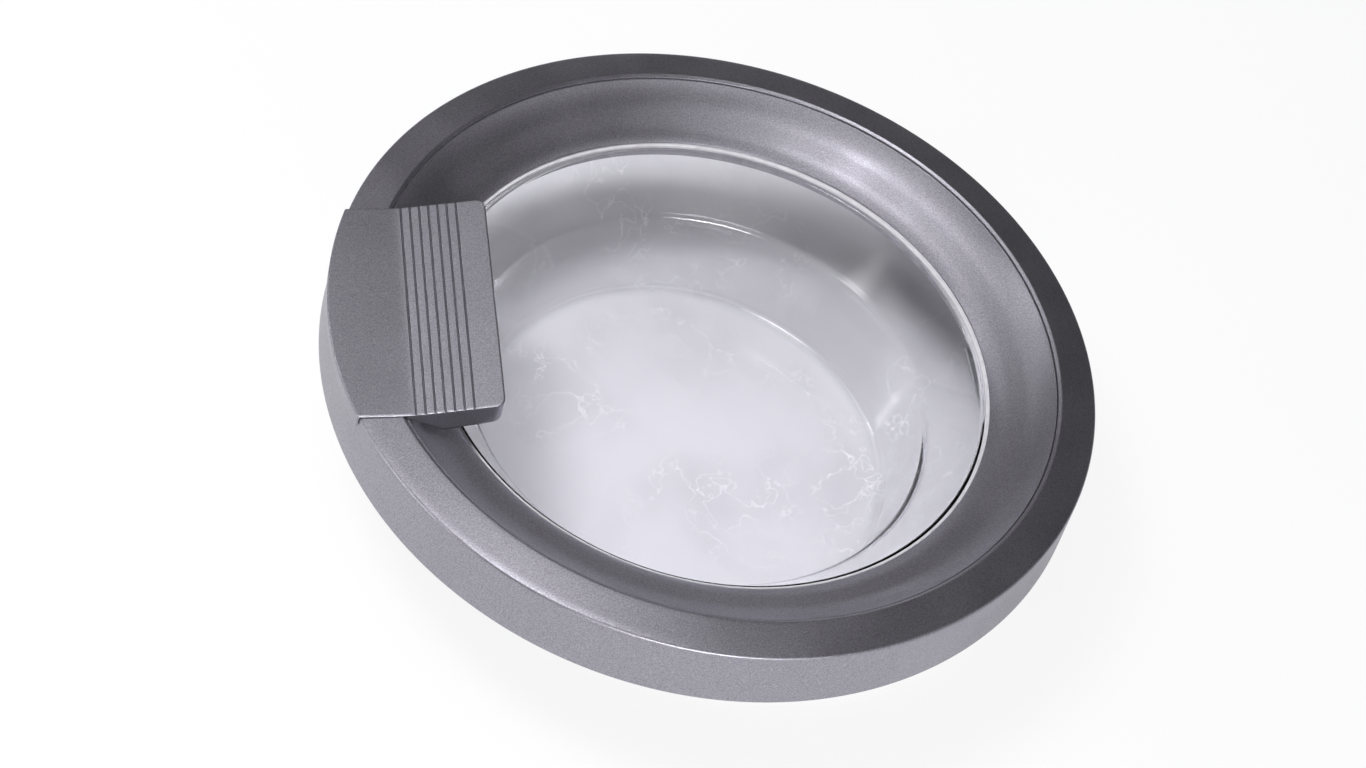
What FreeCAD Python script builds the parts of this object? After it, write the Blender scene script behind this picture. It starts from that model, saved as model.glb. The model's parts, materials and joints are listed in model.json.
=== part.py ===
"""Front loading washing machine door: dished ring, glass bowl, pull handle, latch hook and hinge."""
import FreeCAD, Part
import math
import os
import re
import Sketcher

os.makedirs("parts", exist_ok=True)
doc = FreeCAD.newDocument("washer_door")
sheet = doc.addObject("Spreadsheet::Sheet", "Sizes")

# Driving sizes in millimetres and degrees. Heights count from the front edge of the outer ring.
SIZES = {
    # outer frame
    "rim_height": 109.0, "rim_radius": 210.0, "rim_depth": 37.0, "rim_flare": 2.0, "shell": 2.5,
    "band_width": 20.8, "crest_height": 2.3, "crest_round": 0.9, "rim_round": 1.6, "seam_gap": 0.4,
    "boss_inset": 11.0, "boss_radius": 4.0, "boss_foot": -31.0, "screw_radius": 2.0,
    "screw_head": 4.0, "screw_fit": 0.05, "frame_gap": 0.6,
    # dished trim ring
    "trim_edge": 0.8, "trim_seat": -1.8, "trim_tuck": 6.1, "dish_width": 15.9, "dish_height": -10.4,
    "dish_round": 40.0, "slope_width": 9.5, "roll_height": -14.3, "roll_width": 6.7, "roll_round": 16.8,
    "lip_height": -19.3, "trim_wall": 2.2,
    # seal and glass bowl
    "seal_top": -20.3, "seal_thick": 2.0, "seal_show": 1.8, "seal_wide": 14.5, "glass_thick": 5.0,
    "glass_show": 2.0, "bend_inset": 23.6, "bend_height": -56.0, "foot_inset": 10.8,
    "floor_height": -104.0, "foot_round": 12.0, "bend_round": 9.0, "mouth_round": 2.0,
    # rear frame
    "rear_thick": 2.5, "shelf_inset": 3.5, "flange_gap": 0.7,
    # handle
    "grip_half": 70.5, "window_half": 66.0, "cover_stand": 1.6, "cover_drop": 6.0, "plate_wide": 38.0,
    "plate_z": 4.0, "plate_slope": 0.0947, "plate_thick": 0.95, "grip_wide": 46.0, "grip_slope": 0.24,
    "grip_corner": 5.0, "belly_in": 17.0, "belly_z": -6.9, "grip_low": 2.5, "groove_in": 1.8,
    "groove_pitch": 4.8, "groove_wide": 1.1, "groove_deep": 0.9, "grip_skin": 2.5,
    # handle pivot and cam
    "pivot_inset": 10.0, "pivot_z": -12.0, "pivot_boss": 4.8, "pin_radius": 2.0, "running_fit": 0.05,
    "cam_x": 6.7, "cam_z": -12.0, "cam_nose": 3.0,
    # latch hook and housing
    "hook_in": 14.0, "hook_z": -14.0, "hook_half": 4.0, "hook_wide": 6.0, "hook_drop": 46.0,
    "hook_reach": 8.0, "hook_nose": 8.0, "cheek_in": 19.0, "cheek_thick": 3.0, "base_half": 38.0,
    # coil springs
    "wire_radius": 0.5, "coil_radius": 2.75, "coil_turns": 7, "leg_length": 7.0,
    # hinge
    "hinge_inset": 7.0, "hinge_z": -45.0, "lug_radius": 6.0, "lug_in": 20.0, "lug_wide": 12.0,
    "block_half": 31.5, "block_thick": 4.0, "hinge_pin_radius": 3.0, "bush_wall": 1.0,
    "bush_flange": 1.5, "ear_in": 34.0, "ear_thick": 3.0, "ear_radius": 6.5, "plate_drop": 7.0,
    "plate_gauge": 2.0, "plate_inner": 37.0, "plate_outer": 3.0, "mount_x_near": 15.0,
    "mount_x_far": 31.0, "mount_half_y": 28.0, "mount_hole": 2.75, "hinge_screw": 2.5,
}
# Radii and places that follow from the driving sizes, from the rim inwards
DERIVED = {
    "crest_radius": "rim_radius - band_width", "seam_radius": "crest_radius - crest_round",
    "trim_radius": "seam_radius - seam_gap", "trim_flange": "trim_radius + trim_tuck",
    "dish_radius": "trim_radius - dish_width", "roll_radius": "dish_radius - slope_width",
    "lip_radius": "roll_radius - roll_width", "seal_inner": "lip_radius - seal_show",
    "glass_flange": "seal_inner + seal_wide", "glass_lip": "seal_inner - glass_show",
    "bend_radius": "glass_lip - bend_inset", "foot_radius": "bend_radius - foot_inset",
    "boss_ring": "rim_radius - boss_inset", "rear_radius": "rim_radius + rim_flare - shell - frame_gap",
    "shelf_inner": "seal_inner + shelf_inset", "well_radius": "glass_flange + shelf_inset",
    "cover_radius": "rim_radius + cover_stand", "plate_x": "rim_radius - plate_wide",
    "grip_end": "plate_x - grip_wide", "belly_x": "plate_x - belly_in",
    "groove_start": "plate_x - groove_in", "pivot_x": "pivot_inset - rim_radius",
    "hook_x": "pivot_x + hook_in", "hinge_x": "rim_radius - hinge_inset",
}
NAMES = {**SIZES, **{name: "=" + text for name, text in DERIVED.items()}}
for row, (name, value) in enumerate(NAMES.items(), start=1):
    sheet.set("A%d" % row, name)
    sheet.setAlias("B%d" % row, name)
    sheet.set("B%d" % row, str(value))
working = doc.addObject("Spreadsheet::Sheet", "Working")
doc.recompute()


def settled(made):
    """Recompute and make sure that the newest feature has a sound shape."""
    doc.recompute()
    if "Error" in made.State or "Invalid" in made.State or made.Shape.isNull():
        raise RuntimeError("%s: %s" % (made.Name, made.getStatusString()))
    return made


def bound(text):
    """Turn a formula over size names into one that reads them from the sheet."""
    return re.sub(r"[a-z_]+", lambda m: "Sizes." + m.group(0) if m.group(0) in NAMES else m.group(0), text)


def numbers(formulas):
    """Work out formulas in a second sheet, so a sketch starts near its final shape."""
    cells = ["D%d" % (i + 1) for i in range(len(formulas))]
    for cell, text in zip(cells, formulas):
        working.set(cell, "=" + bound(text))
    working.recompute()
    return [float(working.get(cell)) for cell in cells]


def body_at(name, x="0", z="0"):
    """Start one sub-part; its origin sits at x, z over the bowl's base."""
    body = doc.addObject("PartDesign::Body", name)
    body.Label = name
    body.setExpression("Placement.Base.x", bound(x + " + 0"))
    body.setExpression("Placement.Base.z", bound("rim_height + " + z))
    return body


def origin(body, role):
    """Find one of the body's own origin planes or axes."""
    return next(f for f in body.Origin.OriginFeatures if f.Role == role)


def sketch_on(body, role, lift="0", turn=0.0):
    """Put an empty sketch on an origin plane, moved along its normal and turned about its own upright."""
    sketch = body.newObject("Sketcher::SketchObject", body.Name + "_sketch")
    sketch.AttachmentSupport = [(origin(body, role), "")]
    sketch.MapMode = "FlatFace"
    sketch.AttachmentOffset = FreeCAD.Placement(
        FreeCAD.Vector(), FreeCAD.Rotation(FreeCAD.Vector(0, 1, 0), turn))
    sketch.setExpression("AttachmentOffset.Base.z", bound(lift + " + 0"))
    return sketch


def drive(sketch, kind, *where, formula, value):
    """Add one dimension and tie it to its formula."""
    index = sketch.addConstraint(Sketcher.Constraint(kind, *where, value))
    sketch.setExpression("Constraints[%d]" % index, bound(formula))


def pin_point(sketch, geo, pos, fx, fy, x, y):
    """Hold one point at its two coordinates."""
    for kind, formula, value, axis in (("DistanceX", fx, x, -2), ("DistanceY", fy, y, -1)):
        if abs(value) < 1e-9:
            sketch.addConstraint(Sketcher.Constraint("PointOnObject", geo, pos, axis))
        else:
            drive(sketch, kind, -1, 1, geo, pos, formula=formula, value=value)


def outline(sketch, corners):
    """Draw one closed wire. A corner is (x, y) or (x, y, radius, side) when an arc leaves it."""
    flat = []
    for c in corners:
        flat += [c[0], c[1], c[2] if len(c) > 2 else "0"]
    v = numbers(flat)
    pts = [FreeCAD.Vector(v[3 * i], v[3 * i + 1], 0) for i in range(len(corners))]
    ends = []
    for i, c in enumerate(corners):
        p, q = pts[i], pts[(i + 1) % len(pts)]
        if len(c) == 2:
            ends.append((sketch.addGeometry(Part.LineSegment(p, q), False), 1, 2))
            continue
        radius, side = v[3 * i + 2], c[3]
        half = (q - p) * 0.5
        rise = math.sqrt(max(radius ** 2 - half.Length ** 2, 0.0))
        left = FreeCAD.Vector(-half.y, half.x, 0).normalize()
        centre = p + half + left * rise * side
        first, last = (p, q) if side > 0 else (q, p)
        a = math.atan2(first.y - centre.y, first.x - centre.x)
        b = math.atan2(last.y - centre.y, last.x - centre.x)
        if b <= a:
            b += 2 * math.pi
        circle = Part.Circle(centre, FreeCAD.Vector(0, 0, 1), radius)
        geo = sketch.addGeometry(Part.ArcOfCircle(circle, a, b), False)
        ends.append((geo, 1, 2) if side > 0 else (geo, 2, 1))
    for i, c in enumerate(corners):
        geo, start, _ = ends[i]
        before, _, stop = ends[i - 1]
        sketch.addConstraint(Sketcher.Constraint("Coincident", before, stop, geo, start))
        pin_point(sketch, geo, start, c[0], c[1], pts[i].x, pts[i].y)
        if len(c) > 2:
            drive(sketch, "Radius", geo, formula=c[2], value=v[3 * i + 2])


def circle(sketch, x, y, radius):
    """Draw one circle."""
    cx, cy, r = numbers([x, y, radius])
    geo = sketch.addGeometry(Part.Circle(FreeCAD.Vector(cx, cy, 0), FreeCAD.Vector(0, 0, 1), r), False)
    pin_point(sketch, geo, 3, x, y, cx, cy)
    drive(sketch, "Radius", geo, formula=radius, value=r)


def box(sketch, x0, y0, x1, y1):
    """Draw one rectangle from two corners."""
    outline(sketch, [(x0, y0), (x1, y0), (x1, y1), (x0, y1)])


def feature(body, kind, sketch, length=None, both=False, back=False):
    """Add a pad, pocket, revolution or groove made from a sketch."""
    cuts = kind in ("Pocket", "Groove")
    before = body.Tip.Shape.Volume if cuts else 0.0
    made = body.newObject("PartDesign::" + kind, body.Name + "_" + kind.lower())
    made.Profile = sketch
    if kind in ("Revolution", "Groove"):
        made.ReferenceAxis = (sketch, ["V_Axis"])
        made.Angle = 360.0
    else:
        made.setExpression("Length", bound(length))
        if both:
            made.SideType = "Symmetric"
        made.Reversed = back
    sketch.Visibility = False
    settled(made)
    if cuts and not made.Shape.Volume < before - 1e-3:
        raise RuntimeError(body.Name + " cut took nothing away")
    return made


def turned(body, corners, kind="Revolution"):
    """Turn a closed outline of radius and height about the door's axis."""
    sketch = sketch_on(body, "XZ_Plane")
    outline(sketch, corners)
    return feature(body, kind, sketch)


def slab(body, corners, wide, kind="Pad"):
    """Pad or cut an outline of x and height, evenly to both sides of the middle plane."""
    sketch = sketch_on(body, "XZ_Plane")
    outline(sketch, corners)
    return feature(body, kind, sketch, wide, both=True)


def disc(body, x, z, radius, wide, kind="Pad"):
    """Pad or cut a round bar along Y, evenly to both sides of the middle plane."""
    sketch = sketch_on(body, "XZ_Plane")
    circle(sketch, x, z, radius)
    return feature(body, kind, sketch, wide, both=True)


def mirrored(body, feat):
    """Repeat a feature on the other side of the middle plane."""
    twin = body.newObject("PartDesign::Mirrored", body.Name + "_mirrored")
    twin.Originals = [feat]
    twin.MirrorPlane = (origin(body, "XZ_Plane"), [""])
    body.Tip = twin
    return settled(twin)


def around(body, feats, count, angle=360.0):
    """Repeat features about the door's axis."""
    ring = body.newObject("PartDesign::PolarPattern", body.Name + "_ring")
    ring.Originals = feats
    ring.Axis = (origin(body, "Z_Axis"), [""])
    ring.Angle = angle
    ring.Occurrences = count
    body.Tip = ring
    return settled(ring)


def rounded(body, radius, test, kind="Fillet"):
    """Round or chamfer the edges of the newest feature that pass a test."""
    base = body.Tip
    picked = ["Edge%d" % (i + 1) for i, e in enumerate(base.Shape.Edges) if test(e)]
    if not picked:
        raise RuntimeError(body.Name + " has no edge to round")
    made = body.newObject("PartDesign::" + kind, body.Name + "_" + kind.lower())
    made.Base = (base, picked)
    made.setExpression("Radius" if kind == "Fillet" else "Size", bound(radius))
    return settled(made)


def hoop(radius, z, gap=0.15):
    """Test for a round edge about the door's axis, given by formulas for its radius and height."""
    radius, z = numbers([radius, z])

    def test(edge):
        curve = edge.Curve
        return (isinstance(curve, Part.Circle) and abs(curve.Radius - radius) < gap
                and abs(curve.Center.z - z) < gap and math.hypot(curve.Center.x, curve.Center.y) < 0.01)
    return test


def posts(body, spots, radius, low, high, kind="Pad"):
    """Pad or cut upright round posts between two heights."""
    sketch = sketch_on(body, "XY_Plane", low)
    for x, y in spots:
        circle(sketch, x, y, radius)
    return feature(body, kind, sketch, "(%s) - (%s)" % (high, low), back=(kind == "Pocket"))


def block(body, x0, y0, x1, y1, low, high, kind="Pad"):
    """Pad or cut an upright block between two heights."""
    sketch = sketch_on(body, "XY_Plane", low)
    box(sketch, x0, y0, x1, y1)
    return feature(body, kind, sketch, "(%s) - (%s)" % (high, low), back=(kind == "Pocket"))


def on_ring(radius, degrees):
    """Give the formulas for a point on a ring about the door's axis."""
    return ("(%s) * cos(%s deg)" % (radius, degrees), "(%s) * sin(%s deg)" % (radius, degrees))


SPOT = 22.5
parts = []

# Outer frame: flared wall, sloping front band, eight screw bosses and a window under the handle
outer = body_at("outer_frame")
turned(outer, [
    ("rim_radius", "0"), ("crest_radius + crest_round", "crest_height"), ("seam_radius", "crest_height - 1.1"),
    ("seam_radius", "trim_seat"), ("seam_radius + shell", "trim_seat"),
    ("seam_radius + shell", "crest_height - shell - 0.5"), ("rim_radius - shell", "-shell - 0.2"), ("rim_radius + rim_flare - shell", "-rim_depth"),
    ("rim_radius + rim_flare", "-rim_depth")])
block(outer, "-rim_radius - 8", "-window_half", "-dish_radius", "window_half", "-4", "9", "Pocket")
rounded(outer, "rim_round", hoop("rim_radius", "0"))
first = posts(outer, [on_ring("boss_ring", SPOT)], "boss_radius", "boss_foot", "-1.5")
around(outer, [first], 8)
hole = posts(outer, [on_ring("boss_ring", SPOT)], "screw_radius + screw_fit", "boss_foot", "boss_foot + 22", "Pocket")
around(outer, [hole], 8)
parts.append(outer)

# Trim ring: dished bezel that tucks under the band and rolls over the glass
trim = body_at("trim_ring")
turned(trim, [
    ("trim_radius", "trim_edge", "dish_round", -1), ("dish_radius", "dish_height"),
    ("roll_radius", "roll_height", "roll_round", 1), ("lip_radius", "lip_height"),
    ("lip_radius", "seal_top"), ("lip_radius + 2.5", "seal_top"), ("lip_radius + 2.5", "seal_top + 1.9"),
    ("roll_radius + 0.5", "roll_height - trim_wall"), ("roll_radius + 0.5", "seal_top"),
    ("roll_radius + 2.7", "seal_top"), ("roll_radius + 2.7", "roll_height - trim_wall + 1.3"),
    ("dish_radius + 1.2", "dish_height - trim_wall"), ("trim_radius - 1.2", "trim_seat - trim_wall"),
    ("trim_flange", "trim_seat - trim_wall"), ("trim_flange", "trim_seat"), ("trim_radius", "trim_seat")])
parts.append(trim)

# Seal: flat ring between the trim ring and the glass flange
seal = body_at("glass_seal")
turned(seal, [
    ("seal_inner", "seal_top"), ("glass_flange", "seal_top"),
    ("glass_flange", "seal_top - seal_thick"), ("seal_inner", "seal_top - seal_thick")])
parts.append(seal)

# Glass bowl: pressed glass with a flat flange, a bend in the wall and a flat floor
bowl = body_at("glass_bowl")
turned(bowl, [
    ("glass_lip", "seal_top - seal_thick"), ("bend_radius", "bend_height"),
    ("foot_radius", "floor_height"), ("0", "floor_height"), ("0", "floor_height - glass_thick"),
    ("foot_radius + 4.3", "floor_height - glass_thick"), ("bend_radius + 4.8", "bend_height - 1.4"),
    ("glass_lip + 4.0", "seal_top - seal_thick - glass_thick"),
    ("glass_flange", "seal_top - seal_thick - glass_thick"), ("glass_flange", "seal_top - seal_thick")])
rounded(bowl, "foot_round", hoop("foot_radius", "floor_height"))
rounded(bowl, "foot_round + glass_thick - 1", hoop("foot_radius + 4.3", "floor_height - glass_thick"))
rounded(bowl, "bend_round", hoop("bend_radius", "bend_height"))
rounded(bowl, "mouth_round", hoop("glass_lip", "seal_top - seal_thick"))
parts.append(bowl)

# Rear frame: shelf under the glass flange, back plate, stiffening ribs and the openings for the fittings
rear = body_at("rear_frame")
SHELF = "seal_top - seal_thick - glass_thick"
turned(rear, [
    ("shelf_inner", SHELF), ("glass_flange + 0.7", SHELF), ("glass_flange + 0.7", SHELF + " + 6.3"),
    ("glass_flange + 3.2", SHELF + " + 6.3"), ("glass_flange + 3.2", "-rim_depth + 6"),
    ("well_radius + 2.5", "-rim_depth + rear_thick"), ("rear_radius", "-rim_depth + rear_thick"),
    ("rear_radius", "-rim_depth"), ("well_radius", "-rim_depth"), ("shelf_inner + 5.5", SHELF + " - 4.2"),
    ("shelf_inner", SHELF + " - 3.2")])
pad = posts(rear, [on_ring("boss_ring", SPOT)], "boss_radius + 2.5", "-rim_depth", "boss_foot")
around(rear, [pad], 8)
cup = posts(rear, [on_ring("boss_ring", SPOT)], "screw_head + 0.5", "-rim_depth", "-rim_depth + 3", "Pocket")
around(rear, [cup], 8)
hole = posts(rear, [on_ring("boss_ring", SPOT)], "screw_radius + 0.3", "-rim_depth", "boss_foot", "Pocket")
around(rear, [hole], 8)
for turn in (30.0, 210.0):
    rib = sketch_on(rear, "XZ_Plane", turn=turn)
    outline(rib, [("glass_flange + 2", "-rim_depth + 1"), ("glass_flange + 2", "seal_top - 1"),
                  ("glass_flange + 10", "seal_top - 2"), ("boss_ring - 9", "-rim_depth + 1")])
    around(rear, [feature(rear, "Pad", rib, "1.8", both=True)], 9, 120.0)
parts.append(rear)

# Openings in the rear frame for the latch hook and the screws of the latch housing and the hinge block
HOUSING_SPOTS = [("hook_x - 10", "base_half - 5"), ("hook_x - 10", "-base_half + 5"),
                 ("hook_x + 6", "base_half - 5"), ("hook_x + 6", "-base_half + 5")]
HINGE_SPOTS = [("hinge_x - 17", "block_half - 5"), ("hinge_x - 17", "-block_half + 5"),
               ("hinge_x - 9", "12"), ("hinge_x - 9", "-12")]
PLATE_TOP = "-rim_depth + rear_thick"
block(rear, "hook_x - 11", "-hook_wide / 2 - 3", "hook_x + 11.2", "hook_wide / 2 + 3", "-rim_depth - 1", PLATE_TOP + " + 1", "Pocket")
posts(rear, HOUSING_SPOTS, "screw_radius + 0.3", "-rim_depth - 1", PLATE_TOP + " + 1", "Pocket")
posts(rear, HINGE_SPOTS, "hinge_screw + 0.3", "-rim_depth - 1", PLATE_TOP + " + 1", "Pocket")

# Handle lever: cover plate, ribbed grip, two arms and a cam web that all turn on one pin
lever = body_at("handle_lever")
LEFT = "-rim_radius - 3"
LOW = "-plate_thick - (rim_radius + 3 - plate_x) * (plate_slope + 0.0066)"
slab(lever, [
    (LEFT, "plate_z - (rim_radius + 3 - plate_x) * plate_slope"), ("-plate_x", "plate_z"),
    ("-grip_end", "plate_z + (plate_x - grip_end) * grip_slope"), ("-grip_end", "grip_low"),
    ("-belly_x", "belly_z"), ("-plate_x - 1", "1.2"), ("-plate_x - 1", "plate_z - plate_thick"),
    (LEFT, "plate_z + " + LOW)], "2 * grip_half")
GRIP_END = numbers(["grip_end"])[0]
rounded(lever, "grip_corner", lambda e: abs(e.Vertexes[0].X + GRIP_END) < 0.01
        and abs(e.Vertexes[-1].X + GRIP_END) < 0.01 and abs(e.Vertexes[0].Y - e.Vertexes[-1].Y) < 0.01)
cut = sketch_on(lever, "XY_Plane", "-20")
SWEEP = "sqrt(cover_radius ^ 2 - (grip_half + 5) ^ 2)"
outline(cut, [("-rim_radius - 20", "grip_half + 5"), ("-rim_radius - 20", "-grip_half - 5"),
              ("-" + SWEEP, "-grip_half - 5", "cover_radius", -1), ("-" + SWEEP, "grip_half + 5")])
feature(lever, "Pocket", cut, "60", back=True)
lip = sketch_on(lever, "XY_Plane", "-cover_drop")
OUT = "sqrt(cover_radius ^ 2 - grip_half ^ 2)"
IN = "sqrt((cover_radius - 1) ^ 2 - grip_half ^ 2)"
outline(lip, [("-" + OUT, "-grip_half"), ("-" + IN, "-grip_half", "cover_radius - 1", -1),
              ("-" + IN, "grip_half"), ("-" + OUT, "grip_half", "cover_radius", 1)])
feature(lever, "Pad", lip, "cover_drop + 0.6")
hollow = [("-plate_x + 3.5", "plate_z + 3.5 * grip_slope - grip_skin"),
          ("-grip_end - 3", "plate_z + (plate_x - grip_end - 3) * grip_slope - grip_skin"),
          ("-grip_end - 3", "-12"), ("-plate_x + 3.5", "-12")]
slab(lever, hollow, "2 * grip_half - 5.2", "Pocket")
web = sketch_on(lever, "XZ_Plane", "0")
outline(web, [("-plate_x + 3", "plate_z - 1.5"), ("-grip_end - 2", "plate_z + (plate_x - grip_end - 2) * grip_slope - 1.5"),
              ("-grip_end - 2", "grip_low + 1.2"), ("-belly_x", "belly_z + 1.5"), ("-plate_x + 3", "0.8")])
rib = feature(lever, "Pad", web, "1.8", both=True)
rib_row = lever.newObject("PartDesign::MultiTransform", "handle_lever_ribs")
rib_row.Originals = [rib]
row = lever.newObject("PartDesign::LinearPattern", "handle_lever_row")
row.Direction = (origin(lever, "Y_Axis"), [""])
row.Length = 46.0
row.Occurrences = 3
flip = lever.newObject("PartDesign::Mirrored", "handle_lever_flip")
flip.MirrorPlane = (origin(lever, "XZ_Plane"), [""])
rib_row.Transformations = [row, flip]
lever.Tip = rib_row
settled(rib_row)
grooves = sketch_on(lever, "XZ_Plane")
for n in range(7):
    x = "-groove_start + %d * groove_pitch" % n
    top = "plate_z + (plate_x - groove_start + %d * groove_pitch) * grip_slope" % n
    outline(grooves, [(x + " - groove_wide / 2", top + " + 0.6"), (x + " + groove_wide / 2", top + " + 0.6"),
                      (x + " + groove_wide / 2", top + " - groove_deep"), (x + " - groove_wide / 2", top + " - groove_deep")])
feature(lever, "Pocket", grooves, "2 * grip_half + 10", both=True)
STEM = [("pivot_x - 3.4", "0.5"), ("pivot_x + 4.5", "1.3"), ("pivot_x + 4.5", "pivot_z"), ("pivot_x - 3.4", "pivot_z")]
arm = sketch_on(lever, "XZ_Plane", "cheek_in + cheek_thick + 2")
outline(arm, STEM)
arm_pad = feature(lever, "Pad", arm, "5")
mirrored(lever, arm_pad)
eye = sketch_on(lever, "XZ_Plane", "cheek_in + cheek_thick + 2")
circle(eye, "pivot_x", "pivot_z", "pivot_boss")
eye_pad = feature(lever, "Pad", eye, "5")
mirrored(lever, eye_pad)
slab(lever, STEM, "6")
disc(lever, "pivot_x", "pivot_z", "pivot_boss", "6")
ARM = "sqrt(cam_x ^ 2 + cam_z ^ 2)"
ux, uz = "(cam_x / %s)" % ARM, "(cam_z / %s)" % ARM
slab(lever, [("pivot_x - %s * 4.5" % uz, "pivot_z + %s * 4.5" % ux),
             ("pivot_x - %s * 4.5" % ("(-%s)" % uz), "pivot_z - %s * 4.5" % ux),
             ("pivot_x + cam_x + %s * 2.9" % uz, "pivot_z + cam_z - %s * 2.9" % ux),
             ("pivot_x + cam_x - %s * 2.9" % uz, "pivot_z + cam_z + %s * 2.9" % ux)], "6")
disc(lever, "pivot_x + cam_x", "pivot_z + cam_z", "cam_nose", "6")
disc(lever, "pivot_x", "pivot_z", "pin_radius + running_fit", "80", "Pocket")
parts.append(lever)

# Handle pin and hook pin: plain steel pins held in the housing cheeks
handle_pin = body_at("handle_pin", "pivot_x", "pivot_z")
disc(handle_pin, "0", "0", "pin_radius", "2 * (cheek_in + cheek_thick + 8)")
rounded(handle_pin, "0.4", lambda e: isinstance(e.Curve, Part.Circle), "Chamfer")
parts.append(handle_pin)
hook_pin = body_at("hook_pin", "hook_x", "hook_z")
disc(hook_pin, "0", "0", "pin_radius", "2 * (cheek_in + cheek_thick)")
rounded(hook_pin, "0.4", lambda e: isinstance(e.Curve, Part.Circle), "Chamfer")
parts.append(hook_pin)


def coil(name, x, z, start):
    """Wind a close torsion spring about a pin, turn against turn, with one straight leg at each end."""
    body = body_at(name, x, z)
    turns = int(SIZES["coil_turns"])
    wound = sketch_on(body, "YZ_Plane")
    crests = [("%s + %d * 2 * wire_radius" % (start, n), "coil_radius", "1.04 * wire_radius", 1) for n in range(turns, 0, -1)]
    outline(wound, [(start, "coil_radius - wire_radius"),
                    ("%s + %d * 2 * wire_radius" % (start, turns), "coil_radius - wire_radius")]
            + crests + [(start, "coil_radius")])
    made = body.newObject("PartDesign::Revolution", name + "_turns")
    made.Profile = wound
    made.ReferenceAxis = (wound, ["H_Axis"])
    made.Angle = 360.0
    settled(made)
    for place, back in (("wire_radius", True), ("(2 * coil_turns - 1) * wire_radius", False)):
        leg = sketch_on(body, "YZ_Plane")
        circle(leg, "(%s) + %s" % (start, place), "coil_radius", "wire_radius")
        feature(body, "Pad", leg, "leg_length", back=back)
    return body


parts.append(coil("handle_spring", "pivot_x", "pivot_z", "-cheek_in + 3"))
parts.append(coil("hook_spring", "hook_x", "hook_z", "hook_wide + 2"))

# Latch housing: base plate with two cheeks that carry both pins
housing = body_at("latch_housing")
block(housing, "hook_x - 15", "-base_half", "hook_x + 10.6", "base_half", PLATE_TOP, PLATE_TOP + " + 2.5")
cheek = sketch_on(housing, "XZ_Plane", "cheek_in")
outline(cheek, [("hook_x - 18", "-rim_depth + rear_thick + 1"), ("hook_x - 18", "hook_z + 5"), ("hook_x - 11", "hook_z + 7.2"),
                ("hook_x - 3", "hook_z + 7.2"), ("hook_x + 8", "hook_z + 0.5"), ("hook_x + 8", "-rim_depth + rear_thick + 1")])
mirrored(housing, feature(housing, "Pad", cheek, "cheek_thick"))
posts(housing, HOUSING_SPOTS, "screw_radius + 2", PLATE_TOP + " + 2", PLATE_TOP + " + 8")
block(housing, "hook_x - 8", "-hook_wide / 2 - 1.5", "hook_x + 10.8", "hook_wide / 2 + 1.5", PLATE_TOP, PLATE_TOP + " + 3", "Pocket")
posts(housing, HOUSING_SPOTS, "screw_radius + screw_fit", PLATE_TOP, PLATE_TOP + " + 8", "Pocket")
for x, z in (("pivot_x", "pivot_z"), ("hook_x", "hook_z")):
    disc(housing, x, z, "pin_radius", "80", "Pocket")
parts.append(housing)

# Latch hook: zinc casting with an eye, a straight flank for the cam and a tapered nose
hook = body_at("latch_hook", "hook_x", "hook_z")
slab(hook, [("-hook_half", "0"), ("-hook_half", "-hook_drop + hook_nose"), ("-hook_half - hook_reach", "-hook_drop + hook_nose - 0.8"),
            ("-hook_half - hook_reach", "-hook_drop + hook_nose - 2.4"), ("-1", "-hook_drop"), ("hook_half - 1", "-hook_drop"),
            ("hook_half", "-hook_drop + 2"), ("hook_half", "0")], "hook_wide")
HOOK_DROP = numbers(["hook_drop"])[0]
rounded(hook, "1", lambda e: abs(e.Vertexes[0].Z + HOOK_DROP) < 0.01 and abs(e.Vertexes[-1].Z + HOOK_DROP) < 0.01
        and abs(e.Vertexes[0].Y - e.Vertexes[-1].Y) > 1)
disc(hook, "0", "0", "hook_half + 1", "hook_wide")
disc(hook, "0", "0", "pin_radius + running_fit", "20", "Pocket")
parts.append(hook)

# Hinge block: cast plate on the rear frame with two bored lugs
hinge_block = body_at("hinge_block")
block(hinge_block, "hinge_x - 23", "-block_half", "hinge_x - 1", "block_half", "-rim_depth - block_thick", "-rim_depth")
lug = sketch_on(hinge_block, "XZ_Plane", "lug_in")
outline(lug, [("hinge_x - 9", "-rim_depth - 2"), ("hinge_x - 5.6", "hinge_z - 2"), ("hinge_x", "hinge_z"),
              ("hinge_x + 1", "-rim_depth - 2.1"), ("hinge_x - 1", "-rim_depth - 1.6")])
mirrored(hinge_block, feature(hinge_block, "Pad", lug, "lug_wide"))
knuckle = sketch_on(hinge_block, "XZ_Plane", "lug_in")
circle(knuckle, "hinge_x", "hinge_z", "lug_radius")
mirrored(hinge_block, feature(hinge_block, "Pad", knuckle, "lug_wide"))
disc(hinge_block, "hinge_x", "hinge_z", "hinge_pin_radius + bush_wall + running_fit", "80", "Pocket")
posts(hinge_block, HINGE_SPOTS, "hinge_screw + 0.1", "-rim_depth - block_thick - 1", "-rim_depth + 1", "Pocket")
parts.append(hinge_block)

# Backing plate inside the door for the hinge screws
backing = body_at("hinge_backing_plate")
block(backing, "hinge_x - 22", "-block_half + 1", "hinge_x - 2", "block_half - 1", PLATE_TOP, PLATE_TOP + " + 2")
posts(backing, HINGE_SPOTS, "hinge_screw + screw_fit", PLATE_TOP, PLATE_TOP + " + 2", "Pocket")
parts.append(backing)

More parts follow.
